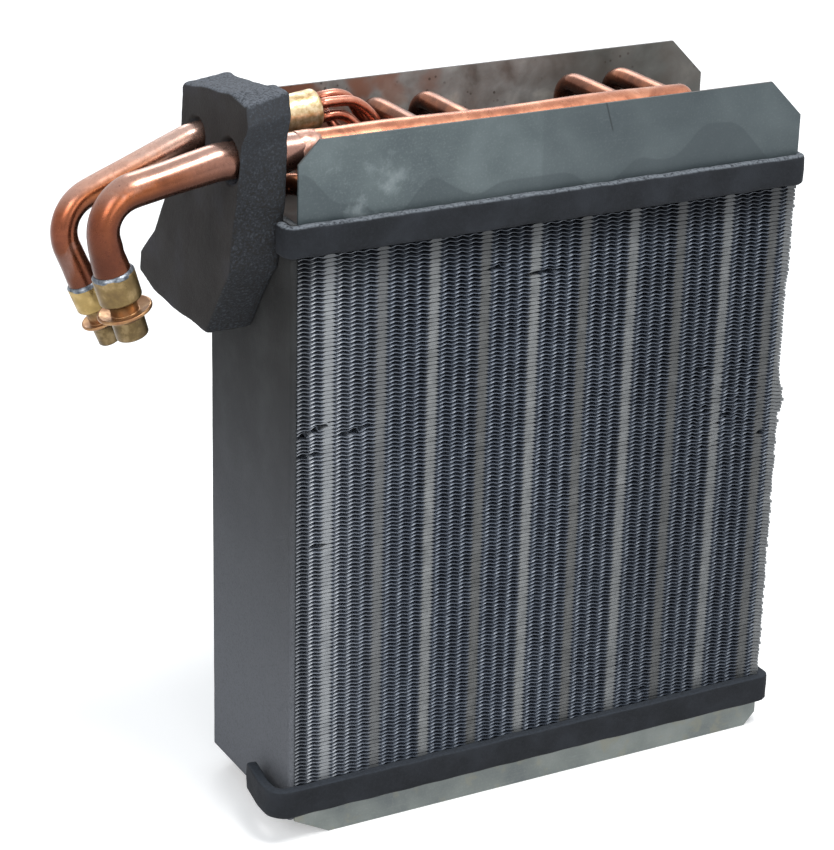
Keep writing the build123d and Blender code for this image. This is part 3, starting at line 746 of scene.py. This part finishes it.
# Distances from the header's closed end, and how much narrower it is there
CAP_STEPS = np.array([2.6, 1.4, 0.6, 0.1])
CAP_CUTS = np.array([0.5, 1.3, 2.6, 4.2])

header_x = np.concatenate([np.linspace(HEADER[0], HEADER_RIGHT - 4, 90), HEADER_RIGHT - CAP_STEPS])
header_path = np.stack([header_x, 0 * header_x + HEADER[1], 0 * header_x + HEADER[2]], axis=-1)
header_path[:, 2] += 0.35 * np.sin(header_x / 17.0) * np.clip((header_x - HEADER[0]) / 20, 0, 1)
header_radii = np.full(len(header_x), HEADER_RADIUS)
header_radii[-len(CAP_CUTS):] = HEADER_RADIUS - CAP_CUTS
dress(tube("suction_header_round", header_path, header_radii, sides=40), header_copper, "header_copper",
      "suction_header")


def leg_frame(collar, y, tilt):
    """Top centre of a fitting and the direction its axis runs down."""
    down = np.array([sin(radians(tilt)), 0.0, -cos(radians(tilt))])
    return np.array([collar[0], y, collar[1]]), down


def flattened_pipe(name, corners, radius, bend_at, spread, squeeze, leg_squeeze):
    """Round pipe flattened in the plane of its bends: r (1 - squeeze exp(-((s - s0) / w)^2))."""
    path = rounded_path(corners, PIPE_BEND_RADIUS, step=1.5)
    s = path_length(path)
    bend = np.exp(-((s - bend_at) / spread) ** 2)
    # The run after the bend is a little flat too, and the one before it less so
    leg = np.clip((s - bend_at) / 14, 0, 1) * np.clip((s[-1] - 10 - s) / 8, 0, 1)
    before = np.clip((s - bend_at + 52) / 20, 0, 1) * np.clip((bend_at - s) / 14, 0, 1)
    within = radius * (1 - np.maximum(squeeze * bend, leg_squeeze * np.maximum(leg, 0.8 * before)))
    across = radius * (1 + 0.04 * bend)
    return mark_along(tube(name, path, across, within, side=(0, 1, 0), sides=40), s / s[-1], 40)


suction_top, suction_down = leg_frame((HEADER[0] - 87.5, HEADER[2] - 42.2), HEADER[1], 16.45)
suction_corners = [
    (HEADER[0] - JOINT_GAP, HEADER[1], HEADER[2]),
    (HEADER[0] - 41.0, HEADER[1], HEADER[2] - 0.9),
    (HEADER[0] - 94.0, HEADER[1], HEADER[2] - 11.1),
    suction_top - suction_down * 8.5,
    suction_top + suction_down * 9,
]
suction_pipe = flattened_pipe("suction_pipe_round", suction_corners, SUCTION_RADIUS, 95.0, 16.0, 0.2, 0.11)
dress(suction_pipe, pipe_copper, "pipe_copper", "suction_pipe")

liquid_top, liquid_down = leg_frame((DISTRIBUTOR[0] - 85.5, DISTRIBUTOR[2] - 61.3), DISTRIBUTOR[1], 22.65)
liquid_corners = [
    (DISTRIBUTOR[0] - JOINT_GAP, DISTRIBUTOR[1], DISTRIBUTOR[2]),
    (DISTRIBUTOR[0] - 36.0, DISTRIBUTOR[1], DISTRIBUTOR[2] - 4.1),
    (DISTRIBUTOR[0] - 97.9, DISTRIBUTOR[1], DISTRIBUTOR[2] - 28.3),
    liquid_top - liquid_down * 18.0,
    liquid_top + liquid_down * 8,
]
liquid_pipe = flattened_pipe("liquid_pipe_round", liquid_corners, LIQUID_RADIUS, 99.0, 16.0, 0.14, 0.06)
dress(liquid_pipe, liquid_copper, "pipe_copper", "liquid_pipe")

suction_brass = brass_finish("suction brass", "7d6848", "746040")
liquid_brass = brass_finish("liquid brass", "b39a66", "a88e58")
solder = solder_finish("solder", "474e57", "868c94")

# Outlines of the turned pieces: distance along the axis, and radius
suction_profile = softened([
    (0, 7.94), (0, 9.14), (11.6, 9.14), (12.4, 8.5), (13.2, 6.2), (18.2, 5.9), (16.6, 11.2), (17.0, 11.85),
    (18.0, 11.85), (20.4, 7.4), (21.0, 7.0), (29.0, 7.0), (29.6, 6.3), (29.6, 5.2), (9.0, 5.2), (9.0, 7.94),
], 0.5)
dress(turned("suction_fitting_round", suction_profile, suction_top, suction_down), suction_brass,
      "fitting_brass", "suction_fitting")
liquid_profile = softened([
    (0, 6.35), (0, 7.45), (11.4, 7.45), (12.0, 6.9), (12.8, 4.9), (19.0, 4.7), (18.0, 8.0), (18.4, 8.4),
    (19.2, 8.4), (21.2, 5.2), (21.8, 4.9), (29.4, 4.9), (30.0, 4.4), (30.0, 3.5), (8.0, 3.5), (8.0, 6.35),
], 0.4)
dress(turned("liquid_fitting_round", liquid_profile, liquid_top, liquid_down), liquid_brass, "fitting_brass",
      "liquid_fitting")

suction_bead = [(-1.3, 7.75), (-1.1, 8.15), (-0.4, 8.75), (0.3, 9.15), (0.9, 9.1), (0.6, 7.7)]
dress(turned("suction_solder_bead", suction_bead, suction_top, suction_down, wobble=0.2, seed=4), solder,
      "solder", "suction_solder_ring")
liquid_bead = [(-1.1, 6.15), (-0.9, 6.5), (-0.3, 7.05), (0.3, 7.45), (0.8, 7.4), (0.5, 6.1)]
dress(turned("liquid_solder_bead", liquid_bead, liquid_top, liquid_down, wobble=0.2, seed=5), solder,
      "solder", "liquid_solder_ring")
joint_bead = [(-5.5, 7.6), (-4.5, 8.0), (-2.0, 8.25), (0.5, 8.35), (3.0, 8.2), (5.0, 7.95), (5.2, 7.6)]
joint_solder = solder_finish("joint solder", "a87868", "cba697")
dress(turned("header_joint_bead", joint_bead, HEADER, (1, 0, 0), wobble=0.25, seed=6), joint_solder, "solder",
      "header_solder_joint")

# Distributor and thin lines

distributor_direction = unit((1, 0, DISTRIBUTOR_SLOPE))
distributor_profile = softened([
    (0, 0.01), (0, 7.5), (1.0, 8.2), (10.0, 8.5), (22.2, 8.8), (23.1, 8.1), (23.1, 0.01),
], 0.5)[1:-1]
distributor_brass = solder_finish("distributor brass", "b0905f", "e3cfaa")
distributor = turned("distributor_round", distributor_profile, DISTRIBUTOR, distributor_direction,
                     closed=False, wobble=0.08, seed=9)
dress(distributor, distributor_brass, "fitting_brass", "distributor")

REDUCER_PROFILE = [(0, 4.76), (2.6, 4.76), (3.6, 4.3), (6.0, 3.2), (8.0, 2.6)]
reducers = []
for place in (("middle", 3), ("front", 6), ("front", 8), ("middle", 8)):
    x, y = tube_place(*place)
    reducers.append(turned(f"reducer_{len(reducers)}", REDUCER_PROFILE, (x, y, TUBE_TOP), (0, 0, 1),
                           closed=False, sides=28))
dress(joined("inlet_reducers_round", reducers), tube_copper, "tube_copper", "inlet_reducers")

face_centre = np.array(DISTRIBUTOR) + distributor_direction * DISTRIBUTOR_LENGTH
face_side = np.array([0, 1, 0])
face_up = np.array([-distributor_direction[2], 0, distributor_direction[0]])
HOLE_CIRCLE = 4.6
# Node, angle of its hole in the distributor's face, straight run out of it, tube it feeds, corners between
LINE_ROUTES = [
    ("thin_line_middle_right", 53, 16.0, ("middle", 8),
     [(-72.8, 8.4, 322.0), (-67.0, 7.4, 312.6), (48.0, 7.4, 312.6), (57.15, 0.0, 309.5)]),
    ("thin_line_middle_left", 143, 6.0, ("middle", 3),
     [(-77.0, 2.2, 331.4), (-65.6, 0.8, 317.5), (-66.0, 0.4, 308.0), (-69.85, 0.0, 303.0)]),
    ("thin_line_front_right", 233, 12.0, ("front", 8),
     [(-76.0, 0.6, 317.5), (-66.0, -9.0, 312.6), (58.0, -9.0, 312.6), (69.85, -27.4, 309.0)]),
    ("thin_line_front_middle", 323, 6.0, ("front", 6),
     [(-85.0, 5.0, 316.5), (-74.0, -15.0, 312.6), (9.0, -15.0, 312.6), (19.05, -27.4, 309.0)]),
]
for line_name, hole_angle, straight, inlet, route in LINE_ROUTES:
    around = radians(hole_angle)
    start = face_centre + face_side * HOLE_CIRCLE * cos(around) + face_up * HOLE_CIRCLE * sin(around)
    corners = [start, start + distributor_direction * straight] + route
    corners.append((*tube_place(*inlet), TUBE_TOP + REDUCER_HEIGHT - 0.5))
    line = tube(line_name + "_round", flowing_path(corners), LINE_RADIUS, side=(0, 1, 0.02), sides=20)
    dress(line, line_copper, "line_copper", line_name)

# Foam pieces

# Outline of the block in y and z
BLOCK_OUTLINE = np.array([
    (-43.5, 348.2), (-46.3, 339.9), (-39.6, 330.9), (-36.4, 316.0), (-34.0, 303.0), (-31.0, 295.0),
    (-27.0, 272.0), (-15.0, 256.0), (-1.0, 236.5), (36.4, 236.6), (55.3, 238.0), (71.6, 242.9),
    (69.6, 252.1), (54.3, 266.6), (42.6, 284.3), (22.1, 321.9), (20.5, 343.0), (2.0, 346.5),
    (-16.0, 348.6), (-28.0, 350.6),
])
BLOCK_LEFT, BLOCK_MIDDLE_X, BLOCK_RIGHT = -152.0, -141.0, -130.0
BLOCK_MIDDLE = np.array([5.0, 290.0])


def foam_block():
    """Sawn block: rings of its outline, shrunk towards its middle over both faces and round at the edges.

    The faces are drawn in where the pipes pass. Towards the fins the front edge bends and the top rises.
    """
    outline = dense(BLOCK_OUTLINE, 1.6)
    edge_share = np.array([0.985, 0.993, 0.998, 1.0])
    edge_x = np.array([0.01, 0.035, 0.085, 0.15])
    share = np.concatenate([np.linspace(0.02, 0.975, 45), edge_share, np.full(11, 1.0), edge_share[::-1],
                            np.linspace(0.975, 0.02, 45)])
    x = np.concatenate([np.zeros(45), edge_x, np.linspace(0.2, 0.8, 11), 1 - edge_x[::-1], np.ones(45)])
    x = BLOCK_LEFT + (BLOCK_RIGHT - BLOCK_LEFT) * x
    yz = BLOCK_MIDDLE + (outline[None] - BLOCK_MIDDLE) * share[:, None, None]
    rings = np.concatenate([np.broadcast_to(x[:, None, None], (*yz.shape[:2], 1)), yz], axis=-1)
    on_face = (share < 0.98).astype(float)[:, None]
    sign = np.where(x < BLOCK_MIDDLE_X, 1.0, -1.0)[:, None]
    for y, z, radius in ((HEADER[1], 321.2, SUCTION_RADIUS), (DISTRIBUTOR[1], 323.5, LIQUID_RADIUS)):
        gap = np.hypot(rings[..., 1] - y, rings[..., 2] - z) - radius
        rings[..., 0] += sign * on_face * 5.0 * np.clip(1 - gap / 2.2, 0, 1)
    bulk = waviness(rings, 30.0, 11)
    fine = waviness(rings, 4.0, 12)
    middle = np.array([BLOCK_MIDDLE_X, *BLOCK_MIDDLE])
    outward = unit((rings - middle) * np.array([3.0, 1.0, 1.0]))
    rings = rings + outward * (0.4 * bulk + 0.1 * fine)[..., None]

    # On the side of the fins the front edge is set back at the top, raised, and pushed out lower down
    share_right = np.clip((rings[..., 0] - BLOCK_LEFT) / (BLOCK_RIGHT - BLOCK_LEFT), 0, 1)
    near_front = np.clip((-22.0 - rings[..., 1]) / 18.0, 0, 1)
    rings[..., 1] += 5.0 * share_right * near_front * np.exp(-((rings[..., 2] - 342.0) / 14.0) ** 2)
    rings[..., 2] += 3.0 * share_right * near_front * np.clip((rings[..., 2] - 332.0) / 10.0, 0, 1)
    rings[..., 1] -= 8.0 * share_right * near_front * np.exp(-((rings[..., 2] - 284.0) / 16.0) ** 2)
    apex = share_right * np.exp(-((rings[..., 1] - 20.0) / 6.0) ** 2)
    apex = apex * np.clip((rings[..., 2] - 332.0) / 8.0, 0, 1)
    rings[..., 1] -= 0.8 * apex
    rings[..., 2] += 2.4 * apex
    return grid_piece("pipe_foam_block_sawn", rings)


block_foam = foam_finish("block foam", "252322", "2e2c2b", "37363a", 1.1, 0.5, "666b73", side_colour="282b2f",
                         sawn="44494f")
dress(foam_block(), block_foam, "dark_foam", "pipe_foam_block")

PAD_THICKNESS = 3.0
BELT_THICKNESS = 4.9
# From the belt's middle to what it lies on
BELT_MIDDLE = 2.5


def belt(name, bottom, top, left_end, right_thickness, bulge, bend_radius, edge_radius, seed):
    """Flat foam strip round both front corners, a little wavy. A bulge stands off the pad on the left."""
    outer = HALF_LENGTH + PAD_THICKNESS + BELT_MIDDLE
    front = -HALF_DEPTH - BELT_MIDDLE
    right = HALF_LENGTH + right_thickness - BELT_MIDDLE
    corners = [(-outer - 0.55 * bulge, left_end, 0), (-outer - bulge, -29.0, 0), (-outer - bulge, front, 0),
               (right, front, 0), (right, -13.0, 0)]
    if not bulge:
        corners.pop(1)
    radii = (bend_radius,) * (len(corners) - 3) + (3.0,)
    path = rounded_path(corners, radii, step=1.5) + np.array([0, 0, (bottom + top) / 2])
    profile = dense(rounded_rectangle(BELT_THICKNESS, top - bottom, edge_radius), 0.7)
    return strip(name, path, profile, (0, 0, 1), 0.22, 13.0, seed)


# The top belt's foam has its top painted light; the lower belt's is the same foam with a darker top colour,
# so less light is painted on it.
belt_foam = foam_finish("belt foam", "191b1e", "202226", "2b2e33", 1.3, 0.3, "7b8188")
low_belt_foam = foam_finish("low belt foam", "191b1e", "202226", "2b2e33", 1.3, 0.3, "343940")
top_belt = belt("top_belt_foam", 280.6, 294.8, left_end=-35.6, right_thickness=3.2, bulge=0.0,
                bend_radius=3.6, edge_radius=1.9, seed=21)
dress(top_belt, belt_foam, "dark_foam", "top_belt")
bottom_belt = belt("bottom_belt_foam", 14.4, 28.1, left_end=-13.0, right_thickness=5.0, bulge=5.2,
                   bend_radius=6.5, edge_radius=1.0, seed=22)
dress(bottom_belt, low_belt_foam, "dark_foam", "bottom_belt")

pad_z = np.linspace(10.6, 294.6, 180)
pad_path = np.stack([0 * pad_z - HALF_LENGTH - PAD_THICKNESS / 2, 0 * pad_z, pad_z], axis=-1)
pad_profile = dense(rounded_rectangle(PAD_THICKNESS, 2 * HALF_DEPTH, 0.9)[:, ::-1], 1.2)
pad_foam = foam_finish("pad foam", "1f1f1f", "272727", "323333", 0.9, 0.3, "6a6d70", faded="5f6166")
pad = strip("side_pad_foam", pad_path, pad_profile, (-1, 0, 0), 0.12, 16.0, 23)
dress(pad, pad_foam, "pad_foam", "side_pad")

# Tube sheets keep their solids and get their own finish

top_sheet_finish = sheet_finish("top sheet", "616b6d", "535d5f", "465053", top=True)
bottom_sheet_finish = sheet_finish("bottom sheet", "858a86", "727875", "5c6263")
for node_name, material in (("top_tube_sheet", top_sheet_finish), ("bottom_tube_sheet", bottom_sheet_finish)):
    for slot_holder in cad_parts[node_name].material_slots:
        slot_holder.material = material

# Floor, light and camera

floor_mesh = bpy.data.meshes.new("floor")
reach = 6.0
floor_mesh.from_pydata([(-reach, -reach, 0), (reach, -reach, 0), (reach, reach, 0), (-reach, reach, 0)], [],
                       [(0, 1, 2, 3)])
floor = bpy.data.objects.new("floor", floor_mesh)
bpy.context.scene.collection.objects.link(floor)


def show(tree, unseen, seen, output):
    """Gives one shader to the camera, to gloss and to glass, and another to the light on the object."""
    path = tree.nodes.new("ShaderNodeLightPath")
    share = path.outputs["Is Camera Ray"]
    for label in ("Is Glossy Ray", "Is Transmission Ray"):
        either = tree.nodes.new("ShaderNodeMath")
        either.operation = "MAXIMUM"
        tree.links.new(share, either.inputs[0])
        tree.links.new(path.outputs[label], either.inputs[1])
        share = either.outputs[0]
    choose = tree.nodes.new("ShaderNodeMixShader")
    for source, socket in zip((share, unseen, seen), choose.inputs):
        tree.links.new(source, socket)
    tree.links.new(choose.outputs[0], output)


floor_material = bpy.data.materials.new("pale floor")
floor_material.use_nodes = True
tree = floor_material.node_tree
paper = tree.nodes["Principled BSDF"]
paper.inputs["Base Color"].default_value = (0.82, 0.82, 0.82, 1)
paper.inputs["Roughness"].default_value = 0.9
lift = tree.nodes.new("ShaderNodeEmission")
lift.inputs["Strength"].default_value = 0.32
lifted = tree.nodes.new("ShaderNodeAddShader")
tree.links.new(paper.outputs[0], lifted.inputs[0])
tree.links.new(lift.outputs[0], lifted.inputs[1])
show(tree, paper.outputs[0], lifted.outputs[0], tree.nodes["Material Output"].inputs["Surface"])
floor_mesh.materials.append(floor_material)

world = bpy.data.worlds.new("studio")
bpy.context.scene.world = world
world.use_nodes = True
tree = world.node_tree
background = tree.nodes["Background"]
background.inputs["Color"].default_value = (0.86, 0.93, 1.0, 1)
background.inputs["Strength"].default_value = 0.5
white = tree.nodes.new("ShaderNodeBackground")
white.inputs["Color"].default_value = (1, 1, 1, 1)
show(tree, background.outputs[0], white.outputs[0], tree.nodes["World Output"].inputs["Surface"])


def stand(thing, right, up, back, place):
    """Puts a thing at a place in metres, turned so that its axes lie along the three directions."""
    matrix = np.eye(4)
    matrix[:3] = np.stack([right, up, back, place], axis=1)
    thing.matrix_world = Matrix(matrix.tolist())


def lamp(name, place, target, size, power, colour):
    """Soft square lamp at a place in metres, turned towards its target."""
    data = bpy.data.lights.new(name, "AREA")
    data.size = size
    data.energy = power
    data.color = colour
    light = bpy.data.objects.new(name, data)
    bpy.context.scene.collection.objects.link(light)
    direction = unit(np.array(target) - np.array(place))
    sideways = unit(np.cross(direction, (0, 0, 1)))
    stand(light, sideways, np.cross(sideways, direction), -direction, place)


# Name, place and target in metres, size, power and colour
lamp("left", (-1.9, -0.9, 1.5), (0, 0, 0.18), 1.0, 20, (1.0, 0.98, 0.96))
lamp("top", (0.3, -0.75, 2.2), (0, 0, 0.25), 0.7, 34, (1.0, 0.99, 0.97))
lamp("front", (-0.5, -2.3, 1.0), (0, 0, 0.18), 1.2, 14, (0.95, 0.98, 1.0))
lamp("rear", (0.6, 1.8, 1.6), (0, 0, 0.2), 1.0, 14, (1.0, 1.0, 1.0))

# The camera as solved from the photograph, in mm and pixels
AZIMUTH, ELEVATION, ROLL = radians(-28.85), radians(22.2), radians(1.38)
AIM = np.array([0.0, 3.85, 178.1])
DISTANCE, SHIFT_RIGHT, SHIFT_UP = 1268.66, -38.47, -11.49
FOCAL_PIXELS = 2720.82
PHOTO_HEIGHT = 850
SENSOR = 36.0
right = np.array([cos(AZIMUTH), sin(AZIMUTH), 0.0])
back = np.array([sin(AZIMUTH) * cos(ELEVATION), -cos(AZIMUTH) * cos(ELEVATION), sin(ELEVATION)])
up = np.cross(back, right)
rolled_right = right * cos(ROLL) + up * sin(ROLL)
rolled_up = up * cos(ROLL) - right * sin(ROLL)
camera_place = (AIM + back * DISTANCE + rolled_right * SHIFT_RIGHT + rolled_up * SHIFT_UP) * MM
camera_data = bpy.data.cameras.new("camera")
camera_data.sensor_fit = "VERTICAL"
camera_data.sensor_height = SENSOR
camera_data.lens = FOCAL_PIXELS * SENSOR / PHOTO_HEIGHT
camera_data.clip_end = 50
camera = bpy.data.objects.new("camera", camera_data)
bpy.context.scene.collection.objects.link(camera)
stand(camera, rolled_right, rolled_up, back, camera_place)
bpy.context.scene.camera = camera
bpy.context.scene.view_settings.view_transform = "Standard"
